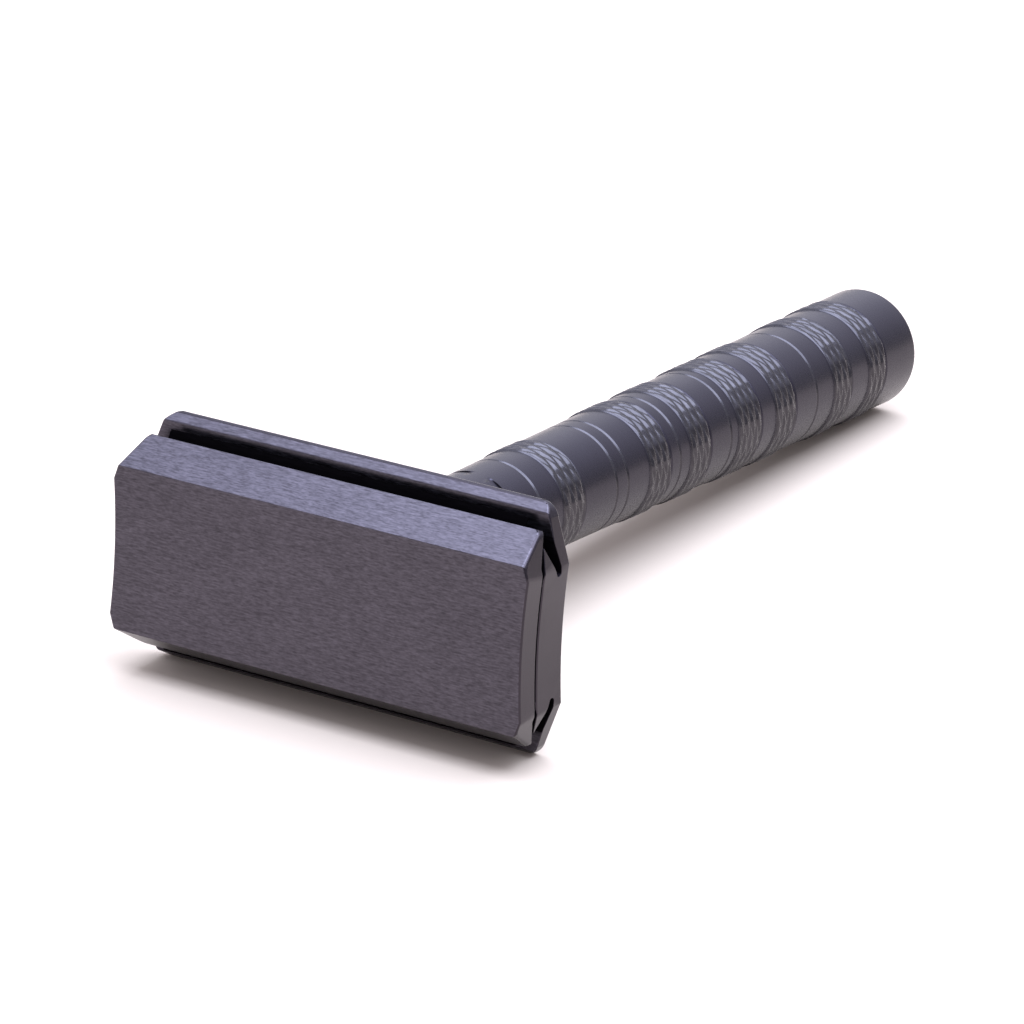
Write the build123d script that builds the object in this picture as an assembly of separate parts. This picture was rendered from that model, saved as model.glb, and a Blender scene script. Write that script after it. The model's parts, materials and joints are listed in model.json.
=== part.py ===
from build123d import *
import os
from math import atan2, cos, degrees, radians, sin, tan

# Three-piece double-edge safety razor, lying on its guard and on the butt of its handle.
# Each piece is drawn upright in the head's own frame, in millimetres: X along the blade, Y from the
# cap's flat face towards the handle's butt, Z across the head. LYING then lays every piece down.

# The standard blade and how the head bends it
BLADE_LENGTH = 43.0
BLADE_WIDTH = 22.0
BLADE_THICKNESS = 0.1
BLADE_EDGE_LENGTH = 37.6
TAB_WIDTH = 12.4
TAB_CHAMFER = 1.2
GROUND_WIDTH = 0.3
BLADE_FLAT = 7.0
BEND_RADIUS = 6.0
BEND_ANGLE = 30.0
BLADE_HOLE_RADIUS = 3.2
PIN_HOLE_RADIUS = 1.8
SLOT_WIDTH = 1.9
SEAT_GAP = 0.01

# Head
HEAD_WIDTH = 43.6
SCOOP_HALF = 6.4
SCOOP_DEPTH = 0.3
CORNER_ANGLE = 17.85
TIP_RADIUS = 1.65
FACE_HALF = 7.76
BEVEL_SLOPE = 0.6
CAP_THICKNESS = 2.5
CAP_HALF = 9.96
CAP_LIP = 0.14
GUARD_HALF = 11.7
GUARD_FRONT = 5.42
HEAD_DEPTH = 6.94
ARM_LEAN = 0.34
FLANK_TOP = 8.5
GULLY_BOTTOM = 5.6
GULLY_FRONT = 5.1
GULLY_REAR = 5.75
ARM_INSIDE = (5.3, 8.6)
TAB_GAP = 0.3
TAB_SEAT_HALF = 6.8

# Screw and pins
STUD_RADIUS = 2.5
SHANK_RADIUS = 3.0
STUD_EMBED = 1.6
SHANK_END = 4.2
STUD_CHAMFER = 0.5
THREAD_PITCH = 0.8
THREAD_TURNS = 10
FIT = 0.05
BOND = 0.005
END_CLEARANCE = 0.2
PIN_RADIUS = 1.4
PIN_SPACING = 29.0
PIN_EMBED = 1.6
PIN_REACH = 3.0
PIN_CHAMFER = 0.3

# Handle
BUTT = 102.4
NECK_RADIUS = 4.9
BUTT_RADIUS = 6.2
BUTT_ROUND = 0.8
NECK_CHAMFER = 0.2
SEAM = 0.02
BORE_DEPTH = 10.5
COUNTERSINK = 0.3
BAND_HEIGHT = 0.17
BAND_RAMP = 0.12
BANDS = [(33.9, 37.6), (49.3, 53.2), (56.9, 60.7), (66.0, 70.5), (73.3, 77.3), (85.0, 88.6), (92.2, 95.8)]
GROOVES = [30.4, 43.3, 45.3, 54.9, 64.5, 81.5]
GROOVE_DEPTH = 0.16
GROOVE_WIDTH = 0.6
NICK_STATION = 26.0
NICK_COUNT = 8
NICK_FIRST_ANGLE = 31.0
NICK_DEPTH = 0.14
NICK_WIDTH = 0.55
NICK_CUTTER = (6.0, 1.0)

# Worked-out places
BLADE_MID = CAP_THICKNESS + SEAT_GAP + BLADE_THICKNESS / 2
BED = BLADE_MID + BLADE_THICKNESS / 2 + SEAT_GAP
BEND_START = BLADE_FLAT - BEND_RADIUS * tan(radians(BEND_ANGLE / 2))
LIP = (CAP_HALF - FACE_HALF) / BEVEL_SLOPE
TAPER = (BUTT_RADIUS - NECK_RADIUS) / (BUTT - HEAD_DEPTH)
THREAD_LENGTH = THREAD_PITCH * THREAD_TURNS

# The razor rests on the guard's outer edge and on the rim of the butt.
REST_GUARD = Vector(0, HEAD_DEPTH - ARM_LEAN, GUARD_HALF)
REST_BUTT = Vector(0, BUTT - BUTT_ROUND, BUTT_RADIUS)
TILT = degrees(atan2(REST_GUARD.Z - REST_BUTT.Z, REST_BUTT.Y - REST_GUARD.Y))


def laid_down(pieces):
    """The placement that tips the head frame onto the floor and centres it over the origin."""
    tipped = [Rot(-TILT, 0, 0) * piece for piece in pieces]
    box = Compound(children=tipped).bounding_box()
    return Pos(-box.center().X, -box.center().Y, -box.min.Z) * Rot(-TILT, 0, 0)


def bend_point(offset, angle):
    """A point on the blade's bend; offset is its distance behind the blade's middle surface."""
    radius = BEND_RADIUS - offset
    turn = radians(angle)
    return Vector(BLADE_MID + BEND_RADIUS - radius * cos(turn), BEND_START + radius * sin(turn))


def slope_point(offset, height):
    """A point at this height on the straight flank beyond the bend."""
    start = bend_point(offset, BEND_ANGLE)
    return Vector(start.X + (height - start.Y) * tan(radians(BEND_ANGLE)), height)


def mirrored(points):
    """An upper half outline and its mirror image below, as one closed loop."""
    return points + [Vector(point.X, -point.Y) for point in reversed(points)]


def head_slab(points):
    """A section of the head, drawn as (Y, Z) points, run across the head and trimmed to its outline."""
    bar = extrude(Plane.YZ * make_face(Polyline(*mirrored(points), close=True)), HEAD_WIDTH, both=True)
    return bar & head_outline()


def head_outline():
    """The head seen along the handle: shallow scoops in the ends, straight drawn-in corners, round tips."""
    half = HEAD_WIDTH / 2
    tip = half - (GUARD_HALF - SCOOP_HALF) * tan(radians(CORNER_ANGLE))
    scoop = ThreePointArc((half, -SCOOP_HALF), (half - SCOOP_DEPTH, 0), (half, SCOOP_HALF))
    corner = Line((half, SCOOP_HALF), (tip, GUARD_HALF))
    right = Curve() + [corner, scoop, mirror(corner, Plane.XZ)]
    edges = [Line((-tip, height), (tip, height)) for height in (-GUARD_HALF, GUARD_HALF)]
    flat = make_face((right + mirror(right, Plane.YZ) + edges).edges())
    tips = flat.vertices().filter_by(lambda vertex: abs(vertex.X) < tip + FIT)
    return extrude(Plane.XZ * fillet(tips, TIP_RADIUS), HEAD_DEPTH + 1, both=True)


def drilled(radius, start, end, x=0):
    """A round bar along Y from start to end, for a hole or for a pin."""
    return Pos(x, start, 0) * extrude(Plane.XZ * Circle(radius), -(end - start))


def cap():
    under = CAP_THICKNESS
    above_blade = BLADE_THICKNESS / 2 + SEAT_GAP + FIT / 2
    lip_inside = slope_point(-above_blade, CAP_HALF - CAP_LIP)
    body = head_slab([Vector(0, FACE_HALF), Vector(LIP, CAP_HALF), lip_inside, Vector(under, BLADE_FLAT)])
    body -= drilled(SHANK_RADIUS + BOND, under - STUD_EMBED, under + 1)
    for side in (-1, 1):
        body -= drilled(PIN_RADIUS + BOND, under - PIN_EMBED, under + 1, side * PIN_SPACING / 2)
    return body


def clamp_stud():
    shank = drilled(SHANK_RADIUS, CAP_THICKNESS - STUD_EMBED, SHANK_END)
    thread = drilled(STUD_RADIUS, SHANK_END, HEAD_DEPTH + THREAD_LENGTH)
    return shank + chamfer(thread.edges().sort_by(Axis.Y)[-1], STUD_CHAMFER)


def locating_pin(side):
    pin = drilled(PIN_RADIUS, CAP_THICKNESS - PIN_EMBED, CAP_THICKNESS + PIN_REACH, side * PIN_SPACING / 2)
    return chamfer(pin.edges().sort_by(Axis.Y)[-1], PIN_CHAMFER)


def blade():
    half = BLADE_THICKNESS / 2
    flank = BLADE_WIDTH / 2 - BEND_START - BEND_RADIUS * radians(BEND_ANGLE)
    edge_height = bend_point(0, BEND_ANGLE).Y + flank * cos(radians(BEND_ANGLE))
    ground_height = edge_height - GROUND_WIDTH
    sides = []
    for offset in (-half, half):
        flat = Line((BLADE_MID + offset, 0), bend_point(offset, 0))
        bend = ThreePointArc(*[bend_point(offset, share * BEND_ANGLE) for share in (0, 0.5, 1)])
        straight = Line(bend @ 1, slope_point(offset, ground_height))
        ground = Line(straight @ 1, slope_point(0, edge_height))
        sides += [flat, bend, straight, ground]
    upper = Curve() + sides
    section = make_face((upper + mirror(upper, Plane.XZ)).edges())
    body = extrude(Plane.YZ * section, BLADE_EDGE_LENGTH / 2, both=True)
    tabs = Pos(0, BLADE_MID, 0) * Box(BLADE_LENGTH, BLADE_THICKNESS, TAB_WIDTH)
    body += chamfer(tabs.edges().filter_by(Axis.Y), TAB_CHAMFER)
    body -= drilled(BLADE_HOLE_RADIUS, 0, HEAD_DEPTH)
    body -= Pos(0, BLADE_MID, 0) * Box(PIN_SPACING, 2 * BLADE_THICKNESS, SLOT_WIDTH)
    for side in (-1, 1):
        body -= drilled(PIN_HOLE_RADIUS, 0, HEAD_DEPTH, side * PIN_SPACING / 2)
    return body


def base_plate():
    under_blade = BLADE_THICKNESS / 2 + SEAT_GAP + FIT
    section = [
        Vector(BED, BEND_START - FIT),
        bend_point(under_blade, BEND_ANGLE),
        slope_point(under_blade, FLANK_TOP),
        Vector(GULLY_FRONT, GULLY_BOTTOM),
        Vector(GULLY_REAR, GULLY_BOTTOM),
        Vector(*ARM_INSIDE),
        Vector(GUARD_FRONT, FACE_HALF + BEVEL_SLOPE * GUARD_FRONT),
        Vector(REST_GUARD.Y, GUARD_HALF),
        Vector(HEAD_DEPTH, SCOOP_HALF),
    ]
    body = head_slab(section)
    tab_seat = Box(HEAD_WIDTH, TAB_GAP, 2 * TAB_SEAT_HALF)
    seat_middle = HEAD_WIDTH / 2 + BLADE_EDGE_LENGTH / 2 + TAB_GAP
    pin_end = CAP_THICKNESS + PIN_REACH + END_CLEARANCE
    for side in (-1, 1):
        body -= Pos(side * seat_middle, CAP_THICKNESS + TAB_GAP / 2, 0) * tab_seat
        body -= drilled(PIN_RADIUS + FIT, CAP_THICKNESS, pin_end, side * PIN_SPACING / 2)
    body -= drilled(SHANK_RADIUS + FIT, CAP_THICKNESS, SHANK_END + END_CLEARANCE)
    return body - drilled(STUD_RADIUS + FIT, CAP_THICKNESS, HEAD_DEPTH + 1)


def handle_radius(station):
    return NECK_RADIUS + TAPER * (station - HEAD_DEPTH)


def handle_steps():
    """Height above the plain taper at each station of the bands and the grooves."""
    heights = {}
    for start, end in BANDS:
        heights[start] = 0
        heights[start + BAND_RAMP] = BAND_HEIGHT
        heights[end - BAND_RAMP] = BAND_HEIGHT
        heights[end] = 0
    for middle in GROOVES:
        heights[middle - GROOVE_WIDTH / 2] = 0
        heights[middle] = -GROOVE_DEPTH
        heights[middle + GROOVE_WIDTH / 2] = 0
    return heights


def handle():
    neck = HEAD_DEPTH + SEAM
    heights = handle_steps()
    outline = [(0, neck), (NECK_RADIUS - NECK_CHAMFER, neck), (NECK_RADIUS, neck + NECK_CHAMFER)]
    outline += [(handle_radius(station) + heights[station], station) for station in sorted(heights)]
    outline += [(BUTT_RADIUS, BUTT), (0, BUTT)]
    body = revolve(make_face(Polyline(*outline, close=True)), Axis.Y)
    body = fillet(body.edges().sort_by(Axis.Y)[-1], BUTT_ROUND)
    bore = STUD_RADIUS + FIT
    body -= drilled(bore, neck - 1, neck + BORE_DEPTH)
    body -= Pos(0, neck + COUNTERSINK / 2, 0) * Rot(90, 0, 0) * Cone(bore, bore + COUNTERSINK, COUNTERSINK)
    for index in range(NICK_COUNT):
        body -= Rot(0, NICK_FIRST_ANGLE + index * 360 / NICK_COUNT, 0) * nick()
    return body


def nick():
    """One short tangential slot, cut across the top of the handle just behind the head."""
    length, height = NICK_CUTTER
    floor = handle_radius(NICK_STATION) - NICK_DEPTH
    return Pos(0, NICK_STATION, floor + height / 2) * Box(length, NICK_WIDTH, height)


def main():
    pieces = {
        "cap": cap(),
        "clamp_stud": clamp_stud(),
        "locating_pin_left": locating_pin(-1),
        "locating_pin_right": locating_pin(1),
        "blade": blade(),
        "base_plate": base_plate(),
        "handle": handle(),
    }
    lying = laid_down(list(pieces.values()))
    os.makedirs("parts", exist_ok=True)
    for node, piece in pieces.items():
        export_step(lying * piece, f"parts/{node}.step")
    print("lying tilt in degrees:", round(TILT, 4))
    print("centre of the cap's face:", lying.position)


main()
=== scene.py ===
import json
from math import atan2, cos, pi, radians, sin, tan

import bmesh
import bpy
from mathutils import Matrix, Vector, geometry


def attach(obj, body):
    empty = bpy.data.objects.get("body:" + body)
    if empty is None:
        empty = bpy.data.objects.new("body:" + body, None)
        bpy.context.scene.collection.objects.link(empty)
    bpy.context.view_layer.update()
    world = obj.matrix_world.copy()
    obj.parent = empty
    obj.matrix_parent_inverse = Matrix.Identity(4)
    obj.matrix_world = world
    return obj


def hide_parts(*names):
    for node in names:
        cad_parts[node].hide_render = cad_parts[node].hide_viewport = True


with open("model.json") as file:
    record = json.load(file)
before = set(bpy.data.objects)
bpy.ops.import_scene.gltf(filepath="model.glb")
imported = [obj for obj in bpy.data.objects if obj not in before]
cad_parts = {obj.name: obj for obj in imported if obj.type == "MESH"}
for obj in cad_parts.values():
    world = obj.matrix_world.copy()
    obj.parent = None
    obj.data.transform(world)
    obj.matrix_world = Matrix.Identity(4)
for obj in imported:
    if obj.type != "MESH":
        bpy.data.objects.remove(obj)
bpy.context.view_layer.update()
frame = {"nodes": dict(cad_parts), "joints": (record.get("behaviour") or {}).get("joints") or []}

# Looks for the three-piece safety razor. The pieces made here are drawn in the head's own frame, in
# millimetres: X along the blade, Y from the cap's face towards the butt, Z across the head. LYING lays
# them down. The pins and the blade are the CAD's own meshes.
MM = 0.001
MERGE_DISTANCE = 0.0005

# Camera, in the row frame
CAMERA_AZIMUTH = 31.47
CAMERA_ELEVATION = 21.24
CAMERA_ROLL = 1.39
CAMERA_DISTANCE = 492.2
CAMERA_TARGET = (-4.23, -11.0, 6.53)
CAMERA_LENS = 183.1
SENSOR = 36.0
CLIP_START = 0.01
CLIP_END = 50

# Head
HEAD_WIDTH = 43.6
SCOOP_HALF = 6.4
SCOOP_DEPTH = 0.3
CORNER_ANGLE = 17.85
TIP_RADIUS = 1.65
CAP_THICKNESS = 2.5
CAP_HALF = 9.97
CAP_TIP_RADIUS = 0.7
FACE_HALF = 7.76
GUARD_HALF = 11.7
HEAD_DEPTH = 6.94
TAB_SEAT = 2.8
TAB_SEAT_START = 19.1
LOOP_STEP = 0.5
TIP_STEP = 0.12
ROUND_STEPS = 4
END_TURNS = (90, 60, 30, 0)
NEARLY_STRAIGHT = 0.02
INSIDE_ONLY = 1
FILL_TOLERANCE = 1e-6

# The upper half of each section, from the front middle to the rear middle: corners as (Y, Z, rounding),
# and how far each edge between them is broken at the head's ends. The base plate's first corner differs
# between its middle and its tab seats.
CAP_CORNERS = [
    (0, SCOOP_HALF, 0),
    (0, FACE_HALF, 0.06),
    (3.667, 9.96, 0.06),
    (4.09, 9.82, 0.05),
    (CAP_THICKNESS, 7.0, 0.05),
]
CAP_BREAKS = [0.26, 0.26, 0.32, 0.1, 0.05, 0.05]
BASE_MIDDLE_CORNER = (2.62, 5.292, 0)
BASE_SEAT_CORNER = (TAB_SEAT, 5.292, 0)
BASE_CORNERS = [
    (TAB_SEAT, 5.946, 0),
    (3.459, 8.337, 0.05),
    (3.553, 8.5, 0.04),
    (5.1, 5.6, 0.3),
    (5.75, 5.6, 0.3),
    (5.3, 8.6, 0),
    (5.42, 11.016, 0.2),
    (6.88, 11.884, 0.25),
    (HEAD_DEPTH, SCOOP_HALF, 0.1),
]
BASE_BREAKS = [0.18, 0.18, 0.06, 0.05, 0.05, 0.05, 0.05, 0.06, 0.28, 0.16, 0.12]

# Screw and pins
STUD_RADIUS = 2.5
SHANK_RADIUS = 3.0
SHANK_END = 4.2
STUD_EMBED = 1.6
STUD_END = 14.94
SHANK_CHAMFER = 0.25
STUD_TIP_LENGTH = 0.5
STUD_TIP_NARROWING = 0.6
STUD_SEGMENTS = 96
THREAD_PITCH = 0.8
THREAD_DEPTH = 0.45
THREAD_FLANK = 1.35
THREAD_CREST = 0.12
THREAD_STEP = 0.1
THREAD_LEAD = 0.4
THREAD_CLEARANCE = 0.05
FIT = 0.05
PIN_RADIUS = 1.4
PIN_SPACING = 29.0
PIN_EMBED = 1.6
PIN_REACH = 3.0
PIN_HOLE_SPARE = 0.3
SHANK_HOLE_SPARE = 0.2
BASE_HOLE_START = 2
STUD_HOLE_START = 3
HOLE_OVERRUN = 1
HOLE_SEGMENTS = 64

# Handle
NECK = 6.96
BUTT = 102.4
NECK_RADIUS = 4.9
NECK_EDGE = 0.25
NECK_EDGE_MIDDLE = 0.07
BUTT_RADIUS = 6.2
BUTT_ROUND = 0.8
BUTT_STEPS = 8
BORE_END = 17.46
BORE_MOUTH_FLARE = 0.35
BORE_TIP_LENGTH = 0.6
BORE_TIP_NARROWING = 0.4
PLAIN_STEP = 1.6
SEGMENTS = 180

# Raised bands, as (start, end). Their edges are (distance from the start or end, height above the handle),
# with a fine dip behind each band, and BAND_CLEARING is how far plain rows keep from them.
BANDS = [
    (33.9, 37.6),
    (49.3, 53.2),
    (56.9, 60.7),
    (66.0, 70.5),
    (73.3, 77.3),
    (85.0, 88.6),
    (92.2, 95.8),
]
BAND_HEIGHT = 0.17
BAND_RAMP = 0.09
BAND_START_EDGE = [(-0.22, 0), (-0.12, 0), (-BAND_RAMP, 0.01), (0.02, 0.14)]
BAND_END_EDGE = [(-0.12, -0.08), (0.12, -0.01), (0.18, 0), (0.28, 0)]
BAND_CLEARING = 0.4

# Rings cut into the plain lengths. The profile is (distance from the middle, depth), as shares of half the
# ring's width and of its depth.
GROOVES = [30.4, 43.3, 45.3, 54.9, 64.5, 81.5]
GROOVE_DEPTH = 0.12
GROOVE_WIDTH = 0.36
GROOVE_PROFILE = [(1.25, 0), (1, 0), (0.85, 0.12), (0.12, 1)]

# Nicks round the neck, and the knurl on the bands
NICK_STATION = 26.0
NICK_COUNT = 8
NICK_FIRST_ANGLE = 31.0
NICK_DEPTH = 0.14
NICK_HALF = 0.275
NICK_RUNOUT = 1.15
KNURL_PITCH = 1.1
KNURL_PERIODS = 9
KNURL_DRIFT = 4
KNURL_DEPTH = 0.16
KNURL_WIDTH = 0.36
KNURL_STEP = 0.088
KNURL_START_INSET = 0.06
KNURL_END_INSET = 0.24

# Where the finish of the head changes, and where its near-black painted shade begins
BEVEL_SLOPE = 0.6
FRONT_EDGE = 0.2
LIP_HEIGHT = 9.0
LIP_START = 5.0
REAR_EDGE = 0.6
END_FACING = 0.3
FRONT_FACING = 0.35

# Shading: sharp edges start at these angles, in degrees, and the weight keeps large flats flat
HEAD_SHARP = 40
HANDLE_SHARP = 50
STUD_SHARP = 32
FLAT_FACE_WEIGHT = 80

# Colours in linear RGB, the floor's roughness, and the range that most of a noise falls in
BRUSHED_TINT = (0.0695, 0.0632, 0.0765)
# Near black for the channels, seats and flanks: painted shade, not a coating of their own
SATIN_TINT = (0.041, 0.036, 0.043)
PAINTED_SHADE_TINT = (0.011, 0.009, 0.012)
TURNED_TINT = (0.0352, 0.0322, 0.042)
# Greyer than the handle's coating, and lighter: partly painted highlight on the knurl glints
GREY_AND_GLINT_TINT = (0.055, 0.052, 0.058)
STEEL_TINT = (0.62, 0.61, 0.6)
# The blade's black coat, darker still: painted shade for the gap it sits in
BLADE_SHADE_TINT = (0.0012, 0.001, 0.0012)
PAPER_TINT = (0.515, 0.443, 0.367)
PAPER_ROUGHNESS = 0.9
NOISE_LOW = 0.3
NOISE_HIGH = 0.7

# Studio. SKY_STOPS are (height, colour), and SKY_SLOPE makes the sky brighter to one side.
FLOOR_REACH = 6.0
SKY_STOPS = [
    (0.0, (0.33, 0.32, 0.355)),
    (0.2, (0.42, 0.42, 0.495)),
    (0.42, (0.66, 0.66, 0.79)),
    (0.7, (0.8, 0.83, 1.0)),
]
SKY_STRENGTH = 1.88
SKY_SLOPE = (-0.5, 0.42, 0.0)
OVERHEAD_PLACE = (0.15, 0.04, 0.8)
OVERHEAD_TARGET = (0.15, 0.04, 0)
OVERHEAD_SIZE = (1.1, 1.04)
OVERHEAD_WATTS = 19.3
OVERHEAD_COLOUR = (0.92, 1.02, 1.28)


def lying_matrix():
    """From the head's own frame to the row frame, read from the joint that the handle turns on."""
    joint = next(joint for joint in frame["joints"] if joint["name"] == "head_turn")
    back = -Vector(joint["axis"]).normalized()
    across = Vector((1, 0, 0))
    up = across.cross(back)
    placed = Matrix((across, back, up)).transposed().to_4x4()
    placed.translation = Vector(joint["pos_m"])
    return placed


LYING = lying_matrix()

# Turns object coordinates about X back to the head's own axes, for the grain of the materials
TILT = -LYING.to_euler().x


# ---------------------------------------------------------------- mesh helpers

def new_object(name, mesh):
    piece = bpy.data.objects.new(name, mesh)
    bpy.context.scene.collection.objects.link(piece)
    return piece


def closed_mesh(name, verts, faces):
    """A mesh with merged doubles and outward normals."""
    mesh = bpy.data.meshes.new(name)
    mesh.from_pydata([Vector(vert) for vert in verts], [], faces)
    tidy = bmesh.new()
    tidy.from_mesh(mesh)
    bmesh.ops.remove_doubles(tidy, verts=tidy.verts, dist=MERGE_DISTANCE)
    bmesh.ops.recalc_face_normals(tidy, faces=tidy.faces)
    tidy.to_mesh(mesh)
    tidy.free()
    return new_object(name, mesh)


def prism(name, points, start, end):
    """A closed bar through the given 3D outline, from the offset start to the offset end."""
    count = len(points)
    low = [Vector(point) + Vector(start) for point in points]
    high = [Vector(point) + Vector(end) for point in points]
    sides = [(i, (i + 1) % count, count + (i + 1) % count, count + i) for i in range(count)]
    ends = [tuple(reversed(range(count))), tuple(range(count, 2 * count))]
    return closed_mesh(name, low + high, sides + ends)


def drill(piece, radius, start, end, x=0.0):
    """Cuts a round hole along Y out of the closed mesh."""
    turns = [2 * pi * i / HOLE_SEGMENTS for i in range(HOLE_SEGMENTS)]
    ring = [(x + radius * cos(turn), 0, radius * sin(turn)) for turn in turns]
    bar = prism("hole", ring, (0, start, 0), (0, end, 0))
    modifier = piece.modifiers.new("drill", "BOOLEAN")
    modifier.operation = "DIFFERENCE"
    modifier.solver = "EXACT"
    modifier.object = bar
    bake_modifiers(piece)
    bpy.data.objects.remove(bar)


def bake_modifiers(piece):
    graph = bpy.context.evaluated_depsgraph_get()
    baked = bpy.data.meshes.new_from_object(piece.evaluated_get(graph))
    piece.modifiers.clear()
    piece.data = baked


def lay(piece, body, slot, *nodes):
    """Moves the finished mesh from the head's frame to the row frame, and declares what it rides on."""
    piece.data.transform(LYING @ Matrix.Scale(MM, 4))
    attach(piece, body)
    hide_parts(*nodes)


def smooth(piece, angle, weighted=False):
    """Smooth shading, broken at sharp edges; weighted keeps the large flats flat."""
    for face in piece.data.polygons:
        face.use_smooth = True
    piece.data.set_sharp_from_angle(angle=radians(angle))
    if weighted:
        modifier = piece.modifiers.new("flat faces", "WEIGHTED_NORMAL")
        modifier.keep_sharp = True
        modifier.weight = FLAT_FACE_WEIGHT
        bake_modifiers(piece)


# ---------------------------------------------------------------- head

def outline_half(z, tip_height, tip_radius):
    """Half the head's width at this height: scooped in the middle, straight drawn-in corners, round tips."""
    height, half = abs(z), HEAD_WIDTH / 2
    if height <= SCOOP_HALF:
        return half - SCOOP_DEPTH * (1 - (height / SCOOP_HALF) ** 2)
    slope = radians(CORNER_ANGLE)
    centre = tip_height - tip_radius
    if height <= centre + tip_radius * sin(slope):
        return half - (height - SCOOP_HALF) * tan(slope)
    reach = half * cos(slope) + SCOOP_HALF * sin(slope) - tip_radius - centre * sin(slope)
    return reach / cos(slope) + (max(0, tip_radius ** 2 - (height - centre) ** 2)) ** 0.5


def inward_of(edge):
    """The direction into the section, square to an edge of it."""
    return Vector((edge.y, -edge.x))


def meeting_point(corner, before, after, wide, next_wide):
    """Where the breaks of the two edges at this corner meet on the end face."""
    bend = before.cross(after)
    if abs(bend) < NEARLY_STRAIGHT:
        return corner + inward_of(before) * (wide + next_wide) / 2
    shift = (inward_of(after) * next_wide - inward_of(before) * wide).cross(after) / bend
    return corner + inward_of(before) * wide + before * shift


def corner_points(corner, before, after, radius, wide, next_wide):
    """One point for a sharp corner, or an arc of them: each with its place, its place on the end face, and
    the break there."""
    meet = meeting_point(corner, before, after, wide, next_wide)
    width = (wide + next_wide) / 2
    if not radius:
        return [(corner, meet, width)]
    inward = inward_of(before)
    turn = atan2(before.cross(after), before.dot(after))
    side = 1 if turn < 0 else -1
    reach = radius * abs(tan(turn / 2))
    middle = corner - before * reach + inward * radius * side
    arc = []
    for i in range(ROUND_STEPS + 1):
        facing = inward.copy()
        facing.rotate(Matrix.Rotation(turn * i / ROUND_STEPS, 2))
        place = middle - facing * radius * side
        inner = meet if side > 0 and radius <= width else place + facing * width
        arc.append((place, inner, width))
    return arc


def section_loop(half, breaks, tip_start):
    """The closed section from its upper half, in points like those of corner_points. Beyond the height
    tip_start they are close together."""
    corners = [Vector(corner[:2]) for corner in half] + [Vector((y, -z)) for y, z, _ in reversed(half)]
    rounding = [corner[2] for corner in half] + [corner[2] for corner in reversed(half)]
    widths = breaks + breaks[-2:0:-1]
    count = len(corners)
    turned = []
    for k in range(count):
        following = (k + 1) % count
        before = (corners[k] - corners[k - 1]).normalized()
        after = (corners[following] - corners[k]).normalized()
        turned.append(corner_points(corners[k], before, after, rounding[k], widths[k], widths[following]))
    loop = []
    for k in range(count):
        start, end = turned[k][-1], turned[(k + 1) % count][0]
        step = TIP_STEP if max(abs(start[0].y), abs(end[0].y)) > tip_start else LOOP_STEP
        pieces = max(1, round((end[0] - start[0]).length / step))
        loop += turned[k]
        loop += [tuple(a + (b - a) * i / pieces for a, b in zip(start, end)) for i in range(1, pieces)]
    return loop


def end_rings(loop, side, tip):
    """From the end face inwards: rings that round the end's edge, each point by its own break."""
    rings = []
    for turn in END_TURNS:
        sunk, drawn = 1 - cos(radians(turn)), 1 - sin(radians(turn))
        ring = []
        for place, inner, width in loop:
            point = place + (inner - place) * sunk
            ring.append((side * (outline_half(point.y, *tip) - width * drawn), point.x, point.y))
        rings.append(ring)
    return rings


def slab(name, middle_loop, end_loop, seam, tip):
    """A bar across the head. The section changes from one loop to the other at the seam."""
    rings = end_rings(end_loop, 1, tip)
    for x, loop in ((seam, end_loop), (seam, middle_loop), (-seam, middle_loop), (-seam, end_loop)):
        rings.append([(x, place.x, place.y) for place, _, _ in loop])
    rings += reversed(end_rings(end_loop, -1, tip))
    count = len(end_loop)
    verts = [point for ring in rings for point in ring]
    faces = []
    for ring in range(len(rings) - 1):
        for i in range(count):
            a, b = ring * count + i, ring * count + (i + 1) % count
            faces.append((a, b, b + count, a + count))
    flat = [inner for _, inner, _ in end_loop]
    filled = geometry.delaunay_2d_cdt(flat, [], [list(range(count))], INSIDE_ONLY, FILL_TOLERANCE)
    for triangle in filled[2]:
        corner = [filled[3][vertex][0] for vertex in triangle]
        faces.append(tuple(corner))
        faces.append(tuple(len(verts) - count + index for index in reversed(corner)))
    return closed_mesh(name, verts, faces)


def drill_for_pins(piece, radius, start, end):
    for side in (-1, 1):
        drill(piece, radius, start, end, side * PIN_SPACING / 2)


def cap():
    loop = section_loop(CAP_CORNERS, CAP_BREAKS, CAP_HALF - CAP_TIP_RADIUS)
    piece = slab("cap_body", loop, loop, TAB_SEAT_START, (CAP_HALF, CAP_TIP_RADIUS))
    drill(piece, SHANK_RADIUS, CAP_THICKNESS - STUD_EMBED, CAP_THICKNESS + HOLE_OVERRUN)
    drill_for_pins(piece, PIN_RADIUS, CAP_THICKNESS - PIN_EMBED, CAP_THICKNESS + HOLE_OVERRUN)
    return piece


def base():
    tip_start = GUARD_HALF - TIP_RADIUS
    middle = section_loop([BASE_MIDDLE_CORNER] + BASE_CORNERS, BASE_BREAKS, tip_start)
    end = section_loop([BASE_SEAT_CORNER] + BASE_CORNERS, BASE_BREAKS, tip_start)
    piece = slab("guard_plate", middle, end, TAB_SEAT_START, (GUARD_HALF, TIP_RADIUS))
    drill_for_pins(piece, PIN_RADIUS + FIT, BASE_HOLE_START, CAP_THICKNESS + PIN_REACH + PIN_HOLE_SPARE)
    drill(piece, SHANK_RADIUS + FIT, BASE_HOLE_START, SHANK_END + SHANK_HOLE_SPARE)
    drill(piece, STUD_RADIUS + FIT, STUD_HOLE_START, HEAD_DEPTH + HOLE_OVERRUN)
    return piece


# ---------------------------------------------------------------- handle and screw

def thread_radius(station, angle, crest):
    """The radius of a V thread whose crest has this radius; angle in turns."""
    phase = (station / THREAD_PITCH - angle) % 1
    height = 1 - abs(2 * phase - 1)
    return crest - THREAD_DEPTH * min(1, max(0, THREAD_FLANK * height - THREAD_CREST))


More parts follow.
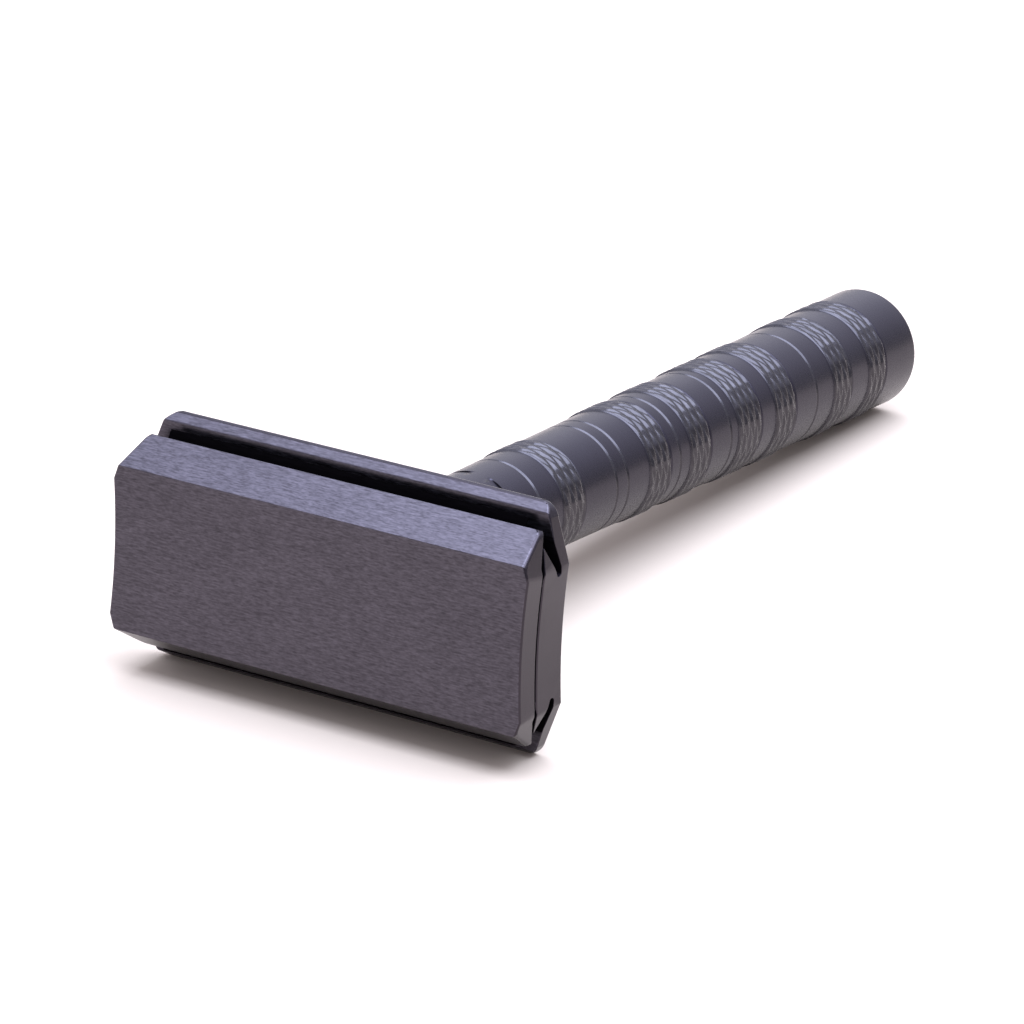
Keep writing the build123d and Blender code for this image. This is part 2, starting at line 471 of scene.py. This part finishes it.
def revolved(name, rows, radius_at, segments):
    """A closed surface round Y. rows are (station, radius, kind), from one pole to the other."""
    verts = []
    faces = []
    inner = rows[1:-1]
    for station, radius, kind in inner:
        for i in range(segments):
            turn = i / segments
            r = radius_at(station, radius, kind, turn)
            verts.append((r * sin(2 * pi * turn), station, r * cos(2 * pi * turn)))
    for row in range(len(inner) - 1):
        for i in range(segments):
            a, b = row * segments + i, row * segments + (i + 1) % segments
            faces.append((a, b, b + segments, a + segments))
    last = (len(inner) - 1) * segments
    first_pole, last_pole = len(verts), len(verts) + 1
    verts += [(0, rows[0][0], 0), (0, rows[-1][0], 0)]
    for i in range(segments):
        faces.append((first_pole, (i + 1) % segments, i))
        faces.append((last_pole, last + i, last + (i + 1) % segments))
    return closed_mesh(name, verts, faces)


def handle_radius(station):
    return NECK_RADIUS + (BUTT_RADIUS - NECK_RADIUS) * (station - HEAD_DEPTH) / (BUTT - HEAD_DEPTH)


def knurl_cut(station, turn):
    """Depth share, 0 to 1, of the two crossing families of shallow cuts."""
    along = station / KNURL_PITCH - turn * KNURL_DRIFT
    depth = 0
    for family in (-1, 1):
        phase = (along + family * turn * KNURL_PERIODS) % 1
        depth = max(depth, 1 - min(phase, 1 - phase) / KNURL_WIDTH)
    return depth


def handle_surface(station, radius, kind, turn):
    if kind == "bore":
        return thread_radius(station, turn, radius)
    if kind == "knurl":
        return radius - KNURL_DEPTH * knurl_cut(station, turn)
    if kind == "nick":
        nearest = (turn * 360 - NICK_FIRST_ANGLE) * NICK_COUNT / 360
        offset = radians((nearest - round(nearest)) * 360 / NICK_COUNT)
        return min(radius, (radius - NICK_DEPTH) / cos(offset))
    return radius


def steps(start, end, step):
    count = max(1, round((end - start) / step))
    return [start + (end - start) * i / count for i in range(count + 1)]


def outer_rows():
    """Rows along the outside: plain runs, rings, nicks, and then the bands in place of what they cover."""
    rows = {}
    for station in steps(NECK + NECK_EDGE, BUTT - BUTT_ROUND, PLAIN_STEP):
        rows[station] = (handle_radius(station), "plain")
    for middle in GROOVES:
        for share, depth in GROOVE_PROFILE:
            for side in (-1, 1):
                station = middle + side * share * GROOVE_WIDTH / 2
                rows[station] = (handle_radius(station) - depth * GROOVE_DEPTH, "plain")
    for share, kind in ((-NICK_RUNOUT, "plain"), (-1, "nick"), (1, "nick"), (NICK_RUNOUT, "plain")):
        station = NICK_STATION + share * NICK_HALF
        rows[station] = (handle_radius(station), kind)
    for start, end in BANDS:
        for station in [s for s in rows if start - BAND_CLEARING <= s <= end + BAND_CLEARING]:
            del rows[station]
        edges = [(start + offset, height) for offset, height in BAND_START_EDGE]
        edges += [(end + offset, height) for offset, height in BAND_END_EDGE]
        for station, height in edges:
            rows[station] = (handle_radius(station) + height, "plain")
        for station in steps(start + KNURL_START_INSET, end - KNURL_END_INSET, KNURL_STEP):
            rows[station] = (handle_radius(station) + BAND_HEIGHT, "knurl")
    return [(station, *rows[station]) for station in sorted(rows)]


def bore_rows():
    """From the end of the bore out to its mouth."""
    bore = STUD_RADIUS + THREAD_CLEARANCE
    rows = [(BORE_END, 0, "plain"), (BORE_END, bore - BORE_TIP_NARROWING, "plain")]
    threaded = steps(NECK + THREAD_LEAD, BORE_END - BORE_TIP_LENGTH, THREAD_STEP)
    rows += [(station, bore, "bore") for station in reversed(threaded)]
    return rows + [(NECK, STUD_RADIUS + BORE_MOUTH_FLARE, "plain")]


def butt_rows():
    """Round the edge of the butt and in to its middle."""
    rows = []
    for i in range(1, BUTT_STEPS + 1):
        turn = pi / 2 * i / BUTT_STEPS
        inset = BUTT_ROUND * (1 - cos(turn))
        rows.append((BUTT - BUTT_ROUND * (1 - sin(turn)), BUTT_RADIUS - inset, "plain"))
    return rows + [(BUTT, 0, "plain")]


def handle():
    rows = bore_rows()
    rows.append((NECK, NECK_RADIUS - NECK_EDGE, "plain"))
    rows.append((NECK + NECK_EDGE_MIDDLE, NECK_RADIUS - NECK_EDGE_MIDDLE, "plain"))
    rows += outer_rows()
    rows += butt_rows()
    return revolved("handle_body", rows, handle_surface, SEGMENTS)


def stud_surface(station, radius, kind, turn):
    return thread_radius(station, turn, radius) if kind == "thread" else radius


def clamp_stud():
    start = CAP_THICKNESS - STUD_EMBED
    threaded = steps(SHANK_END + THREAD_LEAD, STUD_END - STUD_TIP_LENGTH, THREAD_STEP)
    rows = [
        (start, 0, "plain"),
        (start, SHANK_RADIUS, "plain"),
        (SHANK_END - SHANK_CHAMFER, SHANK_RADIUS, "plain"),
        (SHANK_END, SHANK_RADIUS - SHANK_CHAMFER, "plain"),
        (SHANK_END, STUD_RADIUS - THREAD_DEPTH, "plain"),
    ]
    rows += [(station, STUD_RADIUS, "thread") for station in threaded]
    rows += [(STUD_END, STUD_RADIUS - STUD_TIP_NARROWING, "plain"), (STUD_END, 0, "plain")]
    return revolved("screw_stud", rows, stud_surface, STUD_SEGMENTS)


# ---------------------------------------------------------------- materials

class Shader:
    """A small helper that adds and links nodes of one material."""

    def __init__(self, name):
        self.material = bpy.data.materials.new(name)
        self.material.use_nodes = True
        self.nodes = self.material.node_tree.nodes
        self.links = self.material.node_tree.links
        self.bsdf = self.nodes["Principled BSDF"]

    def add(self, kind, **values):
        node = self.nodes.new(kind)
        for key, value in values.items():
            setattr(node, key, value)
        return node

    def link(self, source, target):
        self.links.new(source, target)

    def stretched(self, scale):
        """Coordinates along the head's own axes, multiplied by the scale of each axis."""
        place = self.add("ShaderNodeTexCoord")
        upright = self.add("ShaderNodeVectorRotate", rotation_type="X_AXIS")
        upright.inputs["Angle"].default_value = TILT
        stretch = self.add("ShaderNodeVectorMath", operation="MULTIPLY")
        stretch.inputs[1].default_value = scale
        self.link(place.outputs["Object"], upright.inputs["Vector"])
        self.link(upright.outputs["Vector"], stretch.inputs[0])
        return stretch.outputs[0]

    def noise(self, scale, detail=2.0):
        """Noise that is stretched by a scale per axis of the head, in cycles per metre."""
        node = self.add("ShaderNodeTexNoise")
        node.inputs["Scale"].default_value = 1.0
        node.inputs["Detail"].default_value = detail
        node.inputs["Roughness"].default_value = 0.5
        self.link(self.stretched(scale), node.inputs["Vector"])
        return node.outputs["Fac"]

    def vary(self, noise, low, high):
        """A value that goes from low to high with the noise."""
        node = self.add("ShaderNodeMapRange")
        node.inputs["From Min"].default_value = NOISE_LOW
        node.inputs["From Max"].default_value = NOISE_HIGH
        node.inputs["To Min"].default_value = low
        node.inputs["To Max"].default_value = high
        self.link(noise, node.inputs["Value"])
        return node.outputs["Result"]

    def math(self, operation, first, second):
        node = self.add("ShaderNodeMath", operation=operation)
        for socket, value in zip(node.inputs, (first, second)):
            if isinstance(value, (int, float)):
                socket.default_value = value
            else:
                self.link(value, socket)
        return node.outputs[0]

    def tint(self, colour, share):
        """The colour, multiplied by a share that varies over the surface."""
        node = self.add("ShaderNodeVectorMath", operation="SCALE")
        node.inputs[0].default_value = colour
        self.link(share, node.inputs["Scale"])
        self.link(node.outputs[0], self.bsdf.inputs["Base Color"])

    def roughness(self, noise, low, high):
        self.link(self.vary(noise, low, high), self.bsdf.inputs["Roughness"])

    def bump(self, layers):
        """Chains height layers of (height, distance in metres)."""
        normal = None
        for height, distance in layers:
            node = self.add("ShaderNodeBump")
            node.inputs["Distance"].default_value = distance
            self.link(height, node.inputs["Height"])
            if normal:
                self.link(normal, node.inputs["Normal"])
            normal = node.outputs["Normal"]
        self.link(normal, self.bsdf.inputs["Normal"])


def metal(name):
    shader = Shader(name)
    shader.bsdf.inputs["Metallic"].default_value = 1.0
    return shader


def brushed_anodised():
    """Dark anodised plate, brushed along the head in short fine strokes."""
    s = metal("brushed_anodised")
    strokes = s.noise((1000, 6500, 6500))
    flecks = s.noise((2600, 7000, 7000), detail=1.0)
    cloud = s.noise((140, 260, 260))
    share = s.math("ADD", s.vary(strokes, 0.75, 1.25), s.vary(flecks, -0.16, 0.16))
    share = s.math("MULTIPLY", share, s.vary(cloud, 0.95, 1.05))
    s.tint(BRUSHED_TINT, share)
    s.roughness(strokes, 0.28, 0.38)
    s.bump([(strokes, 4.0e-6), (flecks, 2.0e-6)])
    return s.material


def satin_anodised():
    """The same coating on the head's ends and rear, which are only bead-finished."""
    s = metal("satin_anodised")
    grain = s.noise((5200, 5200, 5200), detail=3.0)
    cloud = s.noise((220, 220, 220))
    s.tint(SATIN_TINT, s.math("MULTIPLY", s.vary(grain, 0.95, 1.05), s.vary(cloud, 0.95, 1.06)))
    s.roughness(grain, 0.2, 0.27)
    s.bump([(grain, 1.2e-6)])
    return s.material


def painted_shade_anodised():
    """Painted shade: the coating inside the channels, on the seats and on the flanks, made near black to
    stand in for the shade there.
    """
    s = metal("painted_shade_anodised")
    grain = s.noise((1500, 5200, 5200))
    s.tint(PAINTED_SHADE_TINT, s.vary(grain, 0.85, 1.15))
    s.roughness(grain, 0.46, 0.56)
    s.bump([(grain, 1.2e-6)])
    return s.material


def turned_anodised():
    """The handle's coating over a fine turned surface: faint rings with slow changes round the bar."""
    s = metal("turned_anodised")
    rings = s.noise((120, 9000, 120))
    grain = s.noise((4200, 4200, 4200))
    cloud = s.noise((120, 60, 120))
    s.tint(TURNED_TINT, s.math("MULTIPLY", s.vary(rings, 0.96, 1.04), s.vary(cloud, 0.94, 1.06)))
    s.roughness(grain, 0.25, 0.32)
    s.bump([(rings, 0.8e-6), (grain, 0.5e-6)])
    return s.material


def grey_and_glint_anodised():
    """The handle's coating on the knurled bands and in the rings, taken as thinner and greyer there; its
    lighter tint is partly painted highlight that brightens the knurl glints.
    """
    s = metal("grey_and_glint_anodised")
    grain = s.noise((4200, 4200, 4200))
    cloud = s.noise((700, 1500, 700))
    s.tint(GREY_AND_GLINT_TINT, s.math("MULTIPLY", s.vary(grain, 0.94, 1.06), s.vary(cloud, 0.85, 1.15)))
    s.roughness(grain, 0.22, 0.3)
    s.bump([(grain, 0.6e-6)])
    return s.material


def machined_steel():
    """Bright stainless steel of the screw and pins, with turning marks."""
    s = metal("machined_steel")
    rings = s.noise((300, 9000, 300))
    cloud = s.noise((500, 500, 500))
    s.tint(STEEL_TINT, s.vary(cloud, 0.93, 1.05))
    s.roughness(rings, 0.22, 0.34)
    s.bump([(rings, 0.8e-6)])
    return s.material


def blade_painted_shade():
    """A blade with a black coat, made darker still and without any sheen to paint the shade in the gap
    between cap and guard, with a rolled grain.
    """
    s = Shader("blade_painted_shade")
    grain = s.noise((900, 6000, 6000))
    cloud = s.noise((180, 180, 180))
    s.tint(BLADE_SHADE_TINT, s.math("MULTIPLY", s.vary(grain, 0.8, 1.2), s.vary(cloud, 0.92, 1.08)))
    s.roughness(grain, 0.5, 0.6)
    s.bump([(grain, 0.8e-6)])
    # No sheen at all, so the blade shows as painted shade in its gap
    s.bsdf.inputs["Specular IOR Level"].default_value = 0.0
    return s.material


def pale_floor():
    """Seamless white paper with a very faint tooth."""
    s = Shader("pale_floor")
    tooth = s.noise((900, 900, 900), detail=3.0)
    s.tint(PAPER_TINT, s.vary(tooth, 0.995, 1.005))
    s.bsdf.inputs["Roughness"].default_value = PAPER_ROUGHNESS
    s.bsdf.inputs["Specular IOR Level"].default_value = 0.0
    s.bump([(tooth, 2.0e-6)])
    return s.material


def finish_faces(piece, brushed, satin, painted_shade):
    """Brushed on the front and the slopes, satin on the ends and the rear, and near-black painted shade
    everywhere else.
    """
    for material in (brushed, satin, painted_shade):
        piece.data.materials.append(material)
    for face in piece.data.polygons:
        depth, height = face.center.y, abs(face.center.z)
        on_cap = depth < FRONT_EDGE + max(0, (height - FACE_HALF) / BEVEL_SLOPE)
        on_lip = depth > LIP_START and height > LIP_HEIGHT
        if abs(face.normal.x) > END_FACING or depth > HEAD_DEPTH - REAR_EDGE:
            face.material_index = 1
        elif face.normal.y < -FRONT_FACING and (on_cap or on_lip):
            face.material_index = 0
        # Everything else gets the painted shade of the channels and seats
        else:
            face.material_index = 2


def finish_handle(piece, plain, grey_and_glint):
    """The bands and the cut rings carry the greyer coating, whose lighter tint paints brighter glints."""
    rings = [(start - BAND_RAMP, end) for start, end in BANDS]
    rings += [(middle - GROOVE_WIDTH / 2, middle + GROOVE_WIDTH / 2) for middle in GROOVES]
    for material in (plain, grey_and_glint):
        piece.data.materials.append(material)
    for face in piece.data.polygons:
        face.material_index = int(any(start < face.center.y < end for start, end in rings))


# ---------------------------------------------------------------- assembly

def assemble():
    # The third of these is painted shade for the head's channels and seats
    brushed, satin, painted_shade = brushed_anodised(), satin_anodised(), painted_shade_anodised()
    # The blade's material is near black and sheenless: painted shade for its gap
    steel, blade_shade = machined_steel(), blade_painted_shade()
    for piece, body, node in ((cap(), "cap", "cap"), (base(), "base", "base_plate")):
        finish_faces(piece, brushed, satin, painted_shade)
        smooth(piece, HEAD_SHARP, weighted=True)
        lay(piece, body, "anodised_plate", node)
    grip = handle()
    # The second handle material lifts the glints on the knurl: painted highlight
    finish_handle(grip, turned_anodised(), grey_and_glint_anodised())
    smooth(grip, HANDLE_SHARP)
    lay(grip, "handle", "anodised_handle", "handle")
    screw = clamp_stud()
    screw.data.materials.append(steel)
    smooth(screw, STUD_SHARP)
    lay(screw, "cap", "stud_steel", "clamp_stud")
    for node, material, slot in (
        ("locating_pin_left", steel, "stud_steel"),
        ("locating_pin_right", steel, "stud_steel"),
        ("blade", blade_shade, "blade_steel"),
    ):
        carried = frame["nodes"][node]
        carried.data.materials.clear()
        carried.data.materials.append(material)


# ---------------------------------------------------------------- studio

def aim(thing, target):
    thing.rotation_euler = (Vector(target) - thing.location).to_track_quat("-Z", "Y").to_euler()


def softbox(name, place, target, size, watts, colour):
    light = bpy.data.lights.new(name, "AREA")
    light.shape = "RECTANGLE"
    light.size, light.size_y = size
    light.energy = watts
    light.color = colour
    lamp = bpy.data.objects.new(name, light)
    bpy.context.scene.collection.objects.link(lamp)
    lamp.location = place
    aim(lamp, target)


def paper_floor():
    mesh = bpy.data.meshes.new("floor")
    corners = [(x * FLOOR_REACH, y * FLOOR_REACH, 0) for x, y in ((-1, -1), (1, -1), (1, 1), (-1, 1))]
    mesh.from_pydata(corners, [], [(0, 1, 2, 3)])
    mesh.materials.append(pale_floor())
    new_object("floor", mesh)


def sky():
    """A soft pale dome: its colour changes with height, and its strength along SKY_SLOPE."""
    world = bpy.data.worlds.new("studio")
    bpy.context.scene.world = world
    world.use_nodes = True
    nodes, links = world.node_tree.nodes, world.node_tree.links
    place = nodes.new("ShaderNodeTexCoord")
    split = nodes.new("ShaderNodeSeparateXYZ")
    ramp = nodes.new("ShaderNodeValToRGB")
    links.new(place.outputs["Generated"], split.inputs[0])
    links.new(split.outputs["Z"], ramp.inputs["Fac"])
    for i, (at, colour) in enumerate(SKY_STOPS):
        stop = ramp.color_ramp.elements[i] if i < 2 else ramp.color_ramp.elements.new(at)
        stop.position = at
        stop.color = (*colour, 1)
    background = nodes["Background"]
    fade = nodes.new("ShaderNodeVectorMath")
    fade.operation = "DOT_PRODUCT"
    fade.inputs[1].default_value = SKY_SLOPE
    strength = nodes.new("ShaderNodeMath")
    strength.operation = "ADD"
    strength.inputs[1].default_value = SKY_STRENGTH
    links.new(place.outputs["Generated"], fade.inputs[0])
    links.new(fade.outputs["Value"], strength.inputs[0])
    links.new(strength.outputs[0], background.inputs["Strength"])
    links.new(ramp.outputs["Color"], background.inputs["Color"])


def studio():
    paper_floor()
    sky()
    softbox("overhead", OVERHEAD_PLACE, OVERHEAD_TARGET, OVERHEAD_SIZE, OVERHEAD_WATTS, OVERHEAD_COLOUR)
    bpy.context.scene.view_settings.view_transform = "Standard"


def camera():
    azimuth, elevation, roll = (radians(v) for v in (CAMERA_AZIMUTH, CAMERA_ELEVATION, CAMERA_ROLL))
    back = Vector((sin(azimuth) * cos(elevation), -cos(azimuth) * cos(elevation), sin(elevation)))
    level = Vector((cos(azimuth), sin(azimuth), 0))
    up = back.cross(level)
    right = level * cos(roll) + up * sin(roll)
    top = up * cos(roll) - level * sin(roll)
    data = bpy.data.cameras.new("camera")
    data.lens = CAMERA_LENS
    data.sensor_width = SENSOR
    data.clip_start = CLIP_START
    data.clip_end = CLIP_END
    view = bpy.data.objects.new("camera", data)
    bpy.context.scene.collection.objects.link(view)
    turn = Matrix((right, top, back)).transposed().to_4x4()
    turn.translation = (Vector(CAMERA_TARGET) + back * CAMERA_DISTANCE) * MM
    view.matrix_world = turn
    bpy.context.scene.camera = view


camera()
studio()
assemble()
